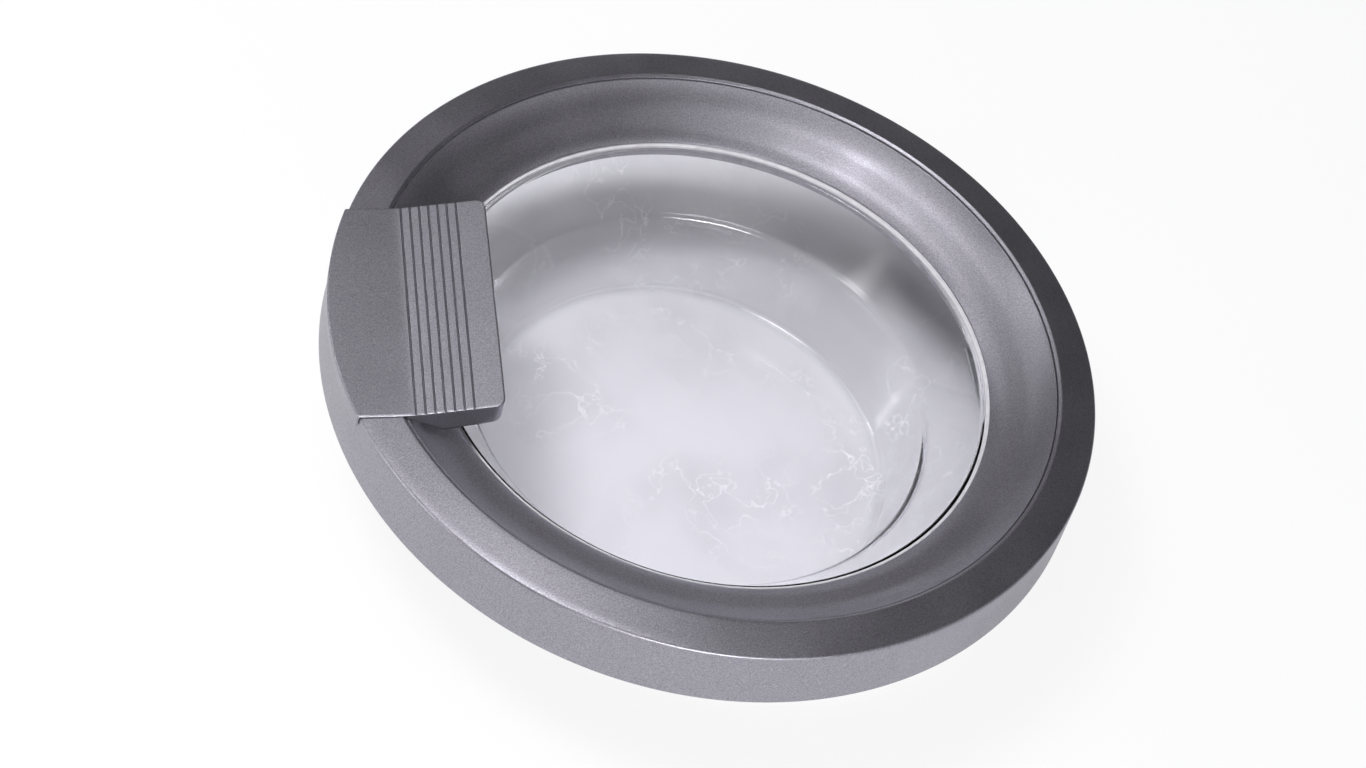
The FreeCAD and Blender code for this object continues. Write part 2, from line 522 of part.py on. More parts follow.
# Two flanged bushes in the lugs
for name, sign in (("hinge_bush_upper", 1), ("hinge_bush_lower", -1)):
    bush = body_at(name, "hinge_x", "hinge_z")
    for radius, start, length in (("hinge_pin_radius + bush_wall", "lug_in", "lug_wide + bush_flange"),
                                  ("lug_radius - 0.5", "lug_in + lug_wide", "bush_flange")):
        ring = sketch_on(bush, "XZ_Plane", "%d * (%s)" % (-sign, start))
        circle(ring, "0", "0", radius)
        feature(bush, "Pad", ring, length, back=(sign > 0))
    disc(bush, "0", "0", "hinge_pin_radius + running_fit", "90", "Pocket")
    parts.append(bush)

# Hinge bracket: folded steel plate with two ears, screwed to the cabinet
bracket = body_at("hinge_bracket", "hinge_x", "hinge_z")
block(bracket, "-plate_inner", "-ear_in - ear_thick", "-plate_outer", "ear_in + ear_thick", "-plate_drop - plate_gauge", "-plate_drop")
ear = sketch_on(bracket, "XZ_Plane", "ear_in")
outline(ear, [("-plate_outer", "-plate_drop - plate_gauge"), ("-plate_inner + 8", "-plate_drop - plate_gauge"),
              ("-plate_inner + 8", "-plate_drop + 1"), ("-ear_radius + 1.5", "4.1"), ("ear_radius - 1.9", "-4.6")])
mirrored(bracket, feature(bracket, "Pad", ear, "ear_thick"))
eye = sketch_on(bracket, "XZ_Plane", "ear_in")
circle(eye, "0", "0", "ear_radius")
mirrored(bracket, feature(bracket, "Pad", eye, "ear_thick"))
disc(bracket, "0", "0", "hinge_pin_radius", "90", "Pocket")
MOUNT_SPOTS = [(x, y) for x in ("-mount_x_near", "-mount_x_far") for y in ("mount_half_y", "-mount_half_y")]
posts(bracket, MOUNT_SPOTS, "mount_hole", "-plate_drop - plate_gauge - 1", "-plate_drop + 1", "Pocket")
parts.append(bracket)

# Hinge pin with a head, and the clip in its groove
hinge_pin = body_at("hinge_pin", "hinge_x", "hinge_z")
disc(hinge_pin, "0", "0", "hinge_pin_radius", "2 * (ear_in + ear_thick + 3)")
head = sketch_on(hinge_pin, "XZ_Plane", "ear_in + ear_thick")
circle(head, "0", "0", "hinge_pin_radius + 1.5")
feature(hinge_pin, "Pad", head, "3")
neck = sketch_on(hinge_pin, "XZ_Plane", "-ear_in - ear_thick - 1.2")
circle(neck, "0", "0", "hinge_pin_radius + 2")
circle(neck, "0", "0", "hinge_pin_radius - 0.6")
feature(hinge_pin, "Pocket", neck, "1", back=False)
parts.append(hinge_pin)
clip = body_at("hinge_pin_clip", "hinge_x", "hinge_z")
ring = sketch_on(clip, "XZ_Plane", "-ear_in - ear_thick - 2.1")
circle(ring, "0", "0", "hinge_pin_radius + 1.6")
circle(ring, "0", "0", "hinge_pin_radius - 0.6")
feature(clip, "Pad", ring, "0.8")
gap = sketch_on(clip, "XZ_Plane", "-ear_in - ear_thick")
box(gap, "0.5", "-1.4", "hinge_pin_radius + 3", "1.4")
feature(clip, "Pocket", gap, "3", back=False)
parts.append(clip)


def screws(name, spots, shaft, head, head_z, head_high, tip_z):
    """Make a group of pan head screws driven upwards from behind the door."""
    body = body_at(name)
    body.AllowCompound = True
    posts(body, spots, head, head_z, "(%s) + (%s)" % (head_z, head_high))
    posts(body, spots, shaft, "(%s) + (%s) / 2" % (head_z, head_high), tip_z)
    return body


FRAME_SPOTS = [on_ring("boss_ring", "%s" % (SPOT + 45 * n)) for n in range(8)]
parts.append(screws("frame_screws", FRAME_SPOTS, "screw_radius", "screw_head", "-rim_depth + 0.6", "2.4", "boss_foot + 16"))
parts.append(screws("latch_housing_screws", HOUSING_SPOTS, "screw_radius", "screw_head - 0.4", "-rim_depth - 2", "2", PLATE_TOP + " + 7.5"))
parts.append(screws("hinge_block_screws", HINGE_SPOTS, "hinge_screw", "hinge_screw + 1.8", "-rim_depth - block_thick - 2.2", "2.2", PLATE_TOP + " + 3"))

doc.recompute()
for body in parts:
    shape = body.Shape
    if "Error" in body.State or "Invalid" in body.State or shape.isNull() or not shape.isValid():
        raise RuntimeError(body.Label + " is not sound")
    box3 = shape.optimalBoundingBox(False)
    print("%-22s solids %d  volume %8.2f  x %7.1f %7.1f  y %7.1f %7.1f  z %6.1f %6.1f" % (
        body.Label, len(shape.Solids), shape.Volume / 1000, box3.XMin, box3.XMax, box3.YMin, box3.YMax,
        box3.ZMin, box3.ZMax))
    shape.exportStep("parts/%s.step" % body.Label)
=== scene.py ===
"""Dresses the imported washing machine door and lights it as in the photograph.

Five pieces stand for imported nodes: the painted ring with its window, the dished trim ring, the soft seal,
the pressed glass bowl and the ribbed pull handle. Every other node stays and gets the finish of its slot.

Lengths in the classes are millimetres in the door's own frame, where height 0 is the front edge of the
outer ring; `Door.place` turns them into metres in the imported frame. Colours are sRGB hex codes.
"""
from __future__ import annotations

import json
import logging
import math
from dataclasses import dataclass
from enum import Enum
from typing import Any, Sequence

import bpy
import numpy as np
from mathutils import Matrix, Vector

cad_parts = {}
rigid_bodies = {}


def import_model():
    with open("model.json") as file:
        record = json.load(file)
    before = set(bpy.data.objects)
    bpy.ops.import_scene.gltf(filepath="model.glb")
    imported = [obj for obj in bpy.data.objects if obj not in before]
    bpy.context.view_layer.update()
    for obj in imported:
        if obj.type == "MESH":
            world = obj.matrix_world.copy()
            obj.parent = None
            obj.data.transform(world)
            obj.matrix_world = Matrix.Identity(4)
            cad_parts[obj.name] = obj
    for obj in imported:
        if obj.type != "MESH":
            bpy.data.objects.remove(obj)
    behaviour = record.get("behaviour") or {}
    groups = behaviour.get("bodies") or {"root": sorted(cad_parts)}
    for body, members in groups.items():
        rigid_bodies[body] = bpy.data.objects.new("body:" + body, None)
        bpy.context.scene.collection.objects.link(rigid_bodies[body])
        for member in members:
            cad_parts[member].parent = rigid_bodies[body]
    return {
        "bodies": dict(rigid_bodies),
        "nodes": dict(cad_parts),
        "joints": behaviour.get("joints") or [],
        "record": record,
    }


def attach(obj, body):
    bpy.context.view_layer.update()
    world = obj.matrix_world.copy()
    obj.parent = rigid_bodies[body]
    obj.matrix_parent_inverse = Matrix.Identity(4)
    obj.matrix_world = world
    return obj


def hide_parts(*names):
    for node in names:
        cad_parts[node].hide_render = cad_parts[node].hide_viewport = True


log = logging.getLogger("door")
Array = np.ndarray
Point = tuple[float, float]
RIM_HEIGHT = 109.0
MILLIMETRE = 0.001
METRE = 1000.0  # In millimetres: a noise whose grains are s mm wide has the scale METRE / s.
WHITE = (1.0, 1.0, 1.0, 1.0)
# Sockets of a colour mix, by number because its other kinds use the same names.
MIX_SHARE, MIX_FIRST, MIX_SECOND, MIX_COLOUR = 0, 6, 7, 2


class Node(Enum):
    """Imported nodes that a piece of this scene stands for."""

    FRAME = "outer_frame"
    TRIM = "trim_ring"
    SEAL = "glass_seal"
    BOWL = "glass_bowl"
    LEVER = "handle_lever"


class Body(Enum):
    """Moving groups that a new piece rides on."""

    DOOR = "door"
    HANDLE = "handle"


class Slot(Enum):
    """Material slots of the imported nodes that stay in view."""

    GREY_MOULDING = "grey_moulding"
    DARK_MOULDING = "dark_moulding"
    ZINC = "zinc"
    ZINC_PLATED = "zinc_plated"
    PIN_STEEL = "pin_steel"
    SPRING_STEEL = "spring_steel"
    NYLON = "nylon"


# Finishes


def linear(code: str) -> tuple[float, float, float, float]:
    """Turn an sRGB hex code into linear colour: c / 12.92 below 0.04045, else ((c + 0.055) / 1.055) ** 2.4.

    Args:
        code: Six hex digits after a hash sign.

    Returns:
        Red, green, blue and an alpha of 1.
    """
    parts = [int(code[i:i + 2], 16) / 255 for i in (1, 3, 5)]
    light = [c / 12.92 if c <= 0.04045 else ((c + 0.055) / 1.055) ** 2.4 for c in parts]
    return (light[0], light[1], light[2], 1.0)


def add(tree: bpy.types.NodeTree, kind: str, inputs: dict[int | str, Any] | None = None,
        **settings: Any) -> bpy.types.Node:
    """Add one shader node with its settings, and set or link its inputs.

    Args:
        tree: The node tree to add to.
        kind: The node's type name after "ShaderNode".
        inputs: Values by socket name or number; a socket is linked, and a node by its first output.
        **settings: Attributes of the node itself.

    Returns:
        The new node.
    """
    node = tree.nodes.new("ShaderNode" + kind)
    for name, value in settings.items():
        setattr(node, name, value)
    for key, value in (inputs or {}).items():
        if isinstance(value, bpy.types.Node):
            value = value.outputs[0]
        if isinstance(value, bpy.types.NodeSocket):
            tree.links.new(value, node.inputs[key])
        else:
            node.inputs[key].default_value = value
    return node


@dataclass(frozen=True)
class Finish:
    """A named finish; each kind of finish shades the surface in its own way."""

    name: str

    def build(self) -> bpy.types.Material:
        """Make the material from the finish's own shader.

        Returns:
            The new material.
        """
        material = bpy.data.materials.new(self.name)
        material.use_nodes = True
        tree = material.node_tree
        tree.nodes.clear()
        position = add(tree, "TexCoord").outputs["Object"]
        add(tree, "OutputMaterial", {"Surface": self.shade(tree, position)})
        return material

    def shade(self, tree: bpy.types.NodeTree, position: bpy.types.NodeSocket) -> bpy.types.Node:
        """Add the finish's nodes and give its shader; position is the point on the piece in metres."""
        raise NotImplementedError


@dataclass(frozen=True)
class MetallicPaint(Finish):
    """Satin silver paint with metal flake, sprayed on moulded plastic.

    To the eye it is a mid grey metal with broad soft highlights, a fine sparkle of lighter and darker
    flakes, and places that hands have made a little duller.
    """

    dark: str
    light: str
    roughness: float
    metallic: float = 0.95
    flake_mm: float = 0.75  # Real flake is far finer; it is drawn this coarse so that it shows.
    relief_mm: float = 0.006
    handling_mm: float = 38.0
    polished: float = 0.03
    dulled: float = 0.05
    flake_span: Point = (0.3, 0.7)  # Noise values at which the colour is wholly dark and wholly light.
    handling_span: Point = (0.35, 0.7)

    def shade(self, tree: bpy.types.NodeTree, position: bpy.types.NodeSocket) -> bpy.types.Node:
        """Add the flake as colour and relief, and the handling marks as roughness.

        Args:
            tree: The material's node tree.
            position: The point on the piece in metres.

        Returns:
            The shader node.
        """
        flake = add(tree, "TexNoise", {"Vector": position, "Scale": METRE / self.flake_mm, "Detail": 3.0})
        sparkle = add(tree, "MapRange", {"Value": flake, "From Min": self.flake_span[0],
                                         "From Max": self.flake_span[1]})
        colour = add(tree, "Mix", {MIX_SHARE: sparkle, MIX_FIRST: linear(self.dark), MIX_SECOND: linear(self.light)},
                     data_type="RGBA")
        marks = add(tree, "TexNoise", {"Vector": position, "Scale": METRE / self.handling_mm, "Detail": 5.0})
        rough = add(tree, "MapRange", {"Value": marks, "From Min": self.handling_span[0],
                                       "From Max": self.handling_span[1],
                                       "To Min": self.roughness - self.polished,
                                       "To Max": self.roughness + self.dulled})
        bump = add(tree, "Bump", {"Height": flake, "Distance": self.relief_mm * MILLIMETRE, "Strength": 1.0})
        return add(tree, "BsdfPrincipled", {"Base Color": colour.outputs[MIX_COLOUR], "Metallic": self.metallic,
                                            "Roughness": rough, "Normal": bump})


@dataclass(frozen=True)
class BowlGlass(Finish):
    """Clear glass, pressed in a mould.

    To the eye it is clear with a faint cool tone. Its lower wall is painted a little greyer than the floor, by
    radius, as painted shade, and wiping has left dull haze with thin curled streaks in it.
    """

    colour: str = "#e6e5ea"
    smear: str = "#dedde2"
    # Painted shade: the greyer colour of the lower wall.
    wall: str = "#d2d1d6"
    index: float = 1.5
    painted_shade_begins: Point = (112.0, 119.0)
    painted_shade_ends: Point = (126.0, 137.0)
    haze_mm: float = 70.0
    haze_span: Point = (0.46, 0.66)
    curl_mm: float = 26.0
    curl_level: float = 0.53
    curl_width: float = 0.010
    wave_mm: float = 60.0
    wave_depth_mm: float = 0.3
    streak_relief: float = 0.05
    clean_roughness: float = 0.01
    haze_roughness: float = 0.07

    def shade(self, tree: bpy.types.NodeTree, position: bpy.types.NodeSocket) -> bpy.types.Node:
        """Add the painted shade on the lower wall by radius, the haze, the streaks and the mould's slow waves.

        A streak lies where the curl noise is within curl_width of curl_level, as far as there is haze.

        Args:
            tree: The material's node tree.
            position: The point on the bowl in metres.

        Returns:
            The shader node.
        """
        # Painted shade: between these radii the colour turns to the greyer wall colour, standing in for the darker
        # light seen through the lower wall.
        flat = add(tree, "VectorMath", {0: position, 1: (1.0, 1.0, 0.0)}, operation="MULTIPLY")
        radius = add(tree, "VectorMath", {0: flat}, operation="LENGTH").outputs["Value"]
        begun = add(tree, "MapRange", {"Value": radius, "From Min": self.painted_shade_begins[0] * MILLIMETRE,
                                       "From Max": self.painted_shade_begins[1] * MILLIMETRE})
        left = add(tree, "MapRange", {"Value": radius, "From Min": self.painted_shade_ends[0] * MILLIMETRE,
                                      "From Max": self.painted_shade_ends[1] * MILLIMETRE, "To Min": 1.0, "To Max": 0.0})
        wall = add(tree, "Math", {0: begun, 1: left}, operation="MULTIPLY")
        clean = add(tree, "Mix", {MIX_SHARE: wall, MIX_FIRST: linear(self.colour), MIX_SECOND: linear(self.wall)},
                    data_type="RGBA")

        smudges = add(tree, "TexNoise", {"Vector": position, "Scale": METRE / self.haze_mm, "Detail": 4.0})
        haze = add(tree, "MapRange", {"Value": smudges, "From Min": self.haze_span[0], "From Max": self.haze_span[1]})
        hazed = add(tree, "Mix", {MIX_SHARE: haze, MIX_FIRST: clean.outputs[MIX_COLOUR],
                                  MIX_SECOND: linear(self.smear)}, data_type="RGBA")

        curls = add(tree, "TexNoise", {"Vector": position, "Scale": METRE / self.curl_mm, "Detail": 3.0})
        offset = add(tree, "Math", {0: curls, 1: self.curl_level}, operation="SUBTRACT")
        away = add(tree, "Math", {0: offset}, operation="ABSOLUTE")
        line = add(tree, "MapRange", {"Value": away, "From Min": 0.0, "From Max": self.curl_width,
                                      "To Min": 1.0, "To Max": 0.0})
        streak = add(tree, "Math", {0: line, 1: haze}, operation="MULTIPLY")
        colour = add(tree, "Mix", {MIX_SHARE: streak, MIX_FIRST: hazed.outputs[MIX_COLOUR], MIX_SECOND: WHITE},
                     data_type="RGBA")

        rough = add(tree, "MapRange", {"Value": haze, "To Min": self.clean_roughness, "To Max": self.haze_roughness})
        waves = add(tree, "TexNoise", {"Vector": position, "Scale": METRE / self.wave_mm, "Detail": 1.0})
        height = add(tree, "Math", {0: streak, 1: self.streak_relief, 2: waves}, operation="MULTIPLY_ADD")
        bump = add(tree, "Bump", {"Height": height, "Distance": self.wave_depth_mm * MILLIMETRE, "Strength": 1.0})
        return add(tree, "BsdfPrincipled", {"Base Color": colour.outputs[MIX_COLOUR], "Roughness": rough,
                                            "IOR": self.index, "Transmission Weight": 1.0, "Normal": bump})


@dataclass(frozen=True)
class PlainFinish(Finish):
    """A solid material whose tone and surface vary a little, with grains of grain_mm."""

    dark: str
    light: str
    roughness: float
    metallic: float = 0.0
    grain_mm: float = 6.0
    relief_mm: float = 0.02
    grain_span: Point = (0.3, 0.7)  # Noise values at which the colour is wholly dark and wholly light.

    def shade(self, tree: bpy.types.NodeTree, position: bpy.types.NodeSocket) -> bpy.types.Node:
        """Add the grain as colour and relief.

        Args:
            tree: The material's node tree.
            position: The point on the piece in metres.

        Returns:
            The shader node.
        """
        grain = add(tree, "TexNoise", {"Vector": position, "Scale": METRE / self.grain_mm, "Detail": 4.0})
        spread = add(tree, "MapRange", {"Value": grain, "From Min": self.grain_span[0],
                                        "From Max": self.grain_span[1]})
        colour = add(tree, "Mix", {MIX_SHARE: spread, MIX_FIRST: linear(self.dark), MIX_SECOND: linear(self.light)},
                     data_type="RGBA")
        bump = add(tree, "Bump", {"Height": grain, "Distance": self.relief_mm * MILLIMETRE, "Strength": 1.0})
        return add(tree, "BsdfPrincipled", {"Base Color": colour.outputs[MIX_COLOUR], "Metallic": self.metallic,
                                            "Roughness": self.roughness, "Normal": bump})


# The same silver paint on three pieces: the handle a little glossier, the trim ring a little duller.
RING_PAINT = MetallicPaint("ring_silver_paint", "#86848d", "#acaab3", 0.38)
TRIM_PAINT = MetallicPaint("trim_silver_paint", "#86848d", "#acaab3", 0.41)
GRIP_PAINT = MetallicPaint("grip_silver_paint", "#86848d", "#acaab3", 0.36)
# Moulded rubber: pale grey and dull, without a highlight.
SEAL_RUBBER = PlainFinish("pale_seal_rubber", "#a9a8ad", "#b9b8bd", 0.6)
BOWL_GLASS = BowlGlass("bowl_glass")
SLOT_FINISHES: dict[Slot, Finish] = {
    # Injection moulded plastic: mid grey and half dull, with faint flow marks.
    Slot.GREY_MOULDING: PlainFinish("grey_moulded_plastic", "#7c7b80", "#87868b", 0.55),
    # Injection moulded plastic: near black with a low sheen.
    Slot.DARK_MOULDING: PlainFinish("black_moulded_plastic", "#1d1d20", "#26262a", 0.5),
    # Die cast zinc: light grey metal, softly dull, with a tight grain, drawn coarser than real so that it shows.
    Slot.ZINC: PlainFinish("die_cast_zinc", "#8b8d92", "#a3a5aa", 0.5, 0.8, 1.5),
    # Zinc plated steel: pale metal, softly clouded, with a blurred gloss.
    Slot.ZINC_PLATED: PlainFinish("zinc_plated_steel", "#a2a4a8", "#bcbec2", 0.5, 0.7, 9.0, 0.004),
    # Ground steel: smooth, bright and cool.
    Slot.PIN_STEEL: PlainFinish("ground_steel", "#a0a1a4", "#b2b3b6", 0.25, 1.0, 3.0, 0.0),
    # Drawn spring wire: darker steel with a clear gloss along the wire.
    Slot.SPRING_STEEL: PlainFinish("spring_wire_steel", "#56575a", "#6a6b6e", 0.35, 1.0, 3.0, 0.0),
    # Moulded nylon: milky, slightly warm white with a soft sheen.
    Slot.NYLON: PlainFinish("natural_nylon", "#dcd9cf", "#e6e3da", 0.5),
}


# Surfaces


def strip(rows: int, columns: int, close_rows: bool, close_columns: bool) -> Array:
    """List the four corners of every cell of a rows by columns grid of points, row after row.

    Args:
        rows: Points along the first parameter.
        columns: Points along the second parameter.
        close_rows: Whether the last row joins the first.
        close_columns: Whether the last column joins the first.

    Returns:
        Corner numbers, one cell per line.
    """
    i, j = np.meshgrid(np.arange(rows if close_rows else rows - 1),
                       np.arange(columns if close_columns else columns - 1), indexing="ij")
    up, right = (i + 1) % rows, (j + 1) % columns
    corners = [i * columns + j, i * columns + right, up * columns + right, up * columns + j]
    return np.stack(corners, -1).reshape(-1, 4)


def blended(start: Sequence[float], corner: Sequence[float], end: Sequence[float], steps: int) -> Array:
    """Curve from start to end, drawn towards the corner: (1 - t)^2 start + 2 t (1 - t) corner + t^2 end.

    Args:
        start: First point.
        corner: Point where the tangents of both ends meet.
        end: Last point.
        steps: Number of points, with t evenly from 0 to 1.

    Returns:
        The points in order.
    """
    t = np.linspace(0, 1, steps)[:, None]
    return (1 - t) ** 2 * np.array(start) + 2 * t * (1 - t) * np.array(corner) + t ** 2 * np.array(end)


def rounded_path(corners: Sequence[tuple[float, float, float]], steps: int = 6) -> Array:
    """Round the corners of a closed polygon.

    A corner with its sides at the angle a and the radius r becomes a blended curve between the points that
    lie r / tan(a / 2) from it on its sides, or just under half a side if that is less.

    Args:
        corners: x or radius, height, and rounding radius of each corner.
        steps: Points on each curve.

    Returns:
        Points along the path.
    """
    raw = np.array(corners, float)
    points = []
    for k, (x, z, radius) in enumerate(raw):
        here = np.array([x, z])
        if radius <= 0:
            points.append(here[None])
            continue
        before, after = raw[k - 1, :2] - here, raw[(k + 1) % len(raw), :2] - here
        reach_before, reach_after = np.linalg.norm(before), np.linalg.norm(after)
        cosine = np.clip(before @ after / (reach_before * reach_after), -0.9999, 0.9999)
        cut = min(radius / math.tan(math.acos(cosine) / 2), 0.49 * reach_before, 0.49 * reach_after)
        points.append(blended(here + before / reach_before * cut, here, here + after / reach_after * cut, steps))
    return np.concatenate(points)


def evenly(path: Array, longest: float) -> Array:
    """Split every side of a closed path into equal steps.

    Args:
        path: Points along the path.
        longest: The most that a step may measure.

    Returns:
        Points along the path, the old ones among them.
    """
    ends = np.roll(path, -1, axis=0)
    counts = np.ceil(np.linalg.norm(ends - path, axis=1) / longest).astype(int).clip(1)
    return np.concatenate([a + (b - a) * np.arange(n)[:, None] / n for a, b, n in zip(path, ends, counts)])


def turned(outline: Array, angle: Array) -> Array:
    """Turn an outline about the door's axis: point (i, j) = (r_i cos a, r_i sin a, z_i).

    Args:
        outline: Radius and height of each point.
        angle: Angle a of each column, in one line for all rows or a line for each.

    Returns:
        Grid of points, outline by angle.
    """
    r, z = outline[:, :1], outline[:, 1:]
    return np.stack([r * np.cos(angle), r * np.sin(angle), z + 0 * angle], -1)


@dataclass
class Door:
    """The whole dressed door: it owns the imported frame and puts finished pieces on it."""

    frame: dict[str, Any]

    def place(self, name: str, points: Array, faces: Sequence[Sequence[int]], finish: Finish, body: Body,
              node: Node) -> bpy.types.Object:
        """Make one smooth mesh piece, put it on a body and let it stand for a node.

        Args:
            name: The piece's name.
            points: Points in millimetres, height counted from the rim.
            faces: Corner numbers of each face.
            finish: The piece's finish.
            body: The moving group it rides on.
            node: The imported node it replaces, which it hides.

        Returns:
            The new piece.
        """
        lifted = (np.asarray(points, float).reshape(-1, 3) + (0, 0, RIM_HEIGHT)) * MILLIMETRE
        mesh = bpy.data.meshes.new(name)
        mesh.from_pydata(lifted.tolist(), [], faces)
        mesh.validate()
        mesh.materials.append(finish.build())
        mesh.shade_smooth()
        piece = bpy.data.objects.new(name, mesh)
        bpy.context.scene.collection.objects.link(piece)
        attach(piece, body.value)
        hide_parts(node.value)
        log.info("%s: %d faces", name, len(mesh.polygons))
        return piece

    def dress_packed_nodes(self) -> None:
        """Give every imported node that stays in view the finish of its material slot."""
        made = {slot.value: finish.build() for slot, finish in SLOT_FINISHES.items()}
        for entry in self.frame["record"]["subparts"]:
            material = made.get(entry["material_slot"])
            if material is None:
                continue
            for slot in self.frame["nodes"][entry["node"]].material_slots:
                slot.material = material
            log.info("%s: %s", entry["node"], material.name)


@dataclass
class TurnedRing:
    """A ring turned about the door's axis from a closed outline of radius and height."""

    outline: Array
    turns: int = 360

    def points(self) -> Array:
        """Turn the outline, with its angles evenly round the circle from -pi."""
        return turned(self.outline, np.linspace(-math.pi, math.pi, self.turns, endpoint=False)[None])

    def faces(self) -> list[list[int]]:
        """List the cells of the turned grid."""
        return strip(len(self.outline), self.turns, True, True).tolist()


@dataclass
class OuterFrame:
    """Painted ring: flared side wall, rounded rim, band rising to a crest, and the window under the handle."""

    rim: float = 210.0
    foot: float = 212.0
    depth: float = 37.0
    crest: float = 190.1
    crest_height: float = 2.3
    seam: float = 188.3
    wall: float = 2.5
    window_half: float = 66.0
    window_floor: float = -4.0
    flare_outside: float = 0.22  # How far the wall has flared at the window's floor.
    flare_inside: float = 0.2
    seam_drop: float = 1.0
    seam_floor: float = -1.8
    ledge_height: float = -0.7
    inner_height: float = -2.7
    longest: float = 4.0
    body_columns: int = 400
    window_columns: int = 60
    finish: Finish = RING_PAINT

    def outline(self) -> Array:
        """Walk round the ring's section, starting with the outer point of the window's floor.

        Returns:
            Radius and height of each point.
        """
        ledge, inner = self.seam + self.wall, self.rim - self.wall
        return evenly(rounded_path([
            (self.rim + self.flare_outside, self.window_floor, 0), (self.rim, 0, 1.8),
            (self.crest, self.crest_height, 1.6), (self.seam, self.crest_height - self.seam_drop, 0.5),
            (self.seam, self.seam_floor, 0.2), (ledge, self.seam_floor, 0.2), (ledge, self.ledge_height, 0.4),
            (inner, self.inner_height, 1.0), (inner + self.flare_inside, self.window_floor, 0),
            (self.foot - self.wall, -self.depth, 0.3), (self.foot, -self.depth, 0.5)]), self.longest)

    def angles(self, radius: Array) -> Array:
        """Give every column's angle at each radius, so that both ends of the window are flat.

        At radius r the window's half angle is g = asin(half width / r). The first body_columns + 1 columns
        run from -(pi - g) to pi - g over the body, and the others from there to pi + g over the window.

        Args:
            radius: Radius of each row, one to a line.

        Returns:
            Angles, row by column.
        """
        g = np.arcsin(self.window_half / radius)
        body = np.linspace(-1, 1, self.body_columns + 1) * (math.pi - g)
        window = math.pi + np.linspace(-1, 1, self.window_columns + 1)[1:-1] * g
        return np.concatenate([body, window], axis=1)

    def build(self, door: Door) -> None:
        """Make the ring: cells of the grid without the window's, then the window's floor and two flat ends.

        Args:
            door: The door that the ring is put on.
        """
        outline = self.outline()
        grid = turned(outline, self.angles(outline[:, :1]))
        rows, columns = grid.shape[:2]
        last = int(np.flatnonzero(outline[:, 1] >= self.window_floor - 1e-6).max())
        row, column = np.divmod(np.arange(rows * columns), columns)
        cells = strip(rows, columns, True, True)[(row >= last) | (column < self.body_columns)]
        left = np.arange(self.body_columns, columns)
        right = (left + 1) % columns
        floor = np.stack([left, right, last * columns + right, last * columns + left], -1)
        side = np.arange(last + 1) * columns
        faces = [*cells.tolist(), *floor.tolist(), side.tolist(), (side[::-1] + self.body_columns).tolist()]
        door.place("ring_painted", grid, faces, self.finish, Body.DOOR, Node.FRAME)


@dataclass
class TrimRing:
    """Dished bezel: concave slope from the crest, then a rolled bead above the glass."""

    edge: Point = (187.9, 0.8)
    dish_pull: Point = (180.7, -7.0)
    dish: Point = (172.0, -10.4)
    roll: Point = (165.5, -13.05)
    bead_pull: Point = (159.6, -15.4)
    lip: Point = (155.8, -19.3)
    seat: float = -20.3
    lip_land: float = 2.5
    land_rise: float = 1.9
    rib: Point = (163.0, 165.2)  # Both sides of the hidden rib that presses on the seal, and its roots.
    rib_roots: Point = (-16.5, -15.2)
    back: Point = (173.2, -12.6)
    shoulder: float = 186.7
    flange: float = 194.0
    flange_floor: float = -4.0
    flange_top: float = -1.8
    curve_steps: int = 24
    longest: float = 3.0
    finish: Finish = TRIM_PAINT

    def outline(self) -> Array:
        """Walk down the dish and the bead, two blended curves, and back along the hidden side.

        Returns:
            Radius and height of each point.
        """
        dish = blended(self.edge, self.dish_pull, self.dish, self.curve_steps)
        bead = blended(self.roll, self.bead_pull, self.lip, self.curve_steps)
        land = self.lip[0] + self.lip_land
        hidden = rounded_path([
            (self.lip[0], self.seat, 0.3), (land, self.seat, 0.2), (land, self.seat + self.land_rise, 0.2),
            (self.rib[0], self.rib_roots[0], 0.2), (self.rib[0], self.seat, 0.2),
            (self.rib[1], self.seat, 0.2), (self.rib[1], self.rib_roots[1], 0.2), (*self.back, 2.0),
            (self.shoulder, self.flange_floor, 1.0), (self.flange, self.flange_floor, 0.3),
            (self.flange, self.flange_top, 0.3), (self.edge[0], self.flange_top, 0.2)])
        return evenly(np.concatenate([dish, bead, hidden]), self.longest)

    def build(self, door: Door) -> None:
        """Make the ring and put it on the door."""
        ring = TurnedRing(self.outline())
        door.place("trim_dished", ring.points(), ring.faces(), self.finish, Body.DOOR, Node.TRIM)


@dataclass
class GlassSeal:
    """Flat soft ring that shows as a thin pale line between the bead and the glass."""

    inner: float = 154.0
    outer: float = 168.5
    top: float = -20.3
    thick: float = 2.0
    longest: float = 4.0
    finish: Finish = SEAL_RUBBER

    def outline(self) -> Array:
        """Walk round the ring's section, with softer corners inside than outside.

        Returns:
            Radius and height of each point.
        """
        under = self.top - self.thick
        return evenly(rounded_path([
            (self.inner, under, 0.5), (self.outer, under, 0.3), (self.outer, self.top, 0.3),
            (self.inner, self.top, 0.5)]), self.longest)

    def build(self, door: Door) -> None:
        """Make the ring and put it on the door."""
        ring = TurnedRing(self.outline())
        door.place("seal_ring", ring.points(), ring.faces(), self.finish, Body.DOOR, Node.SEAL)


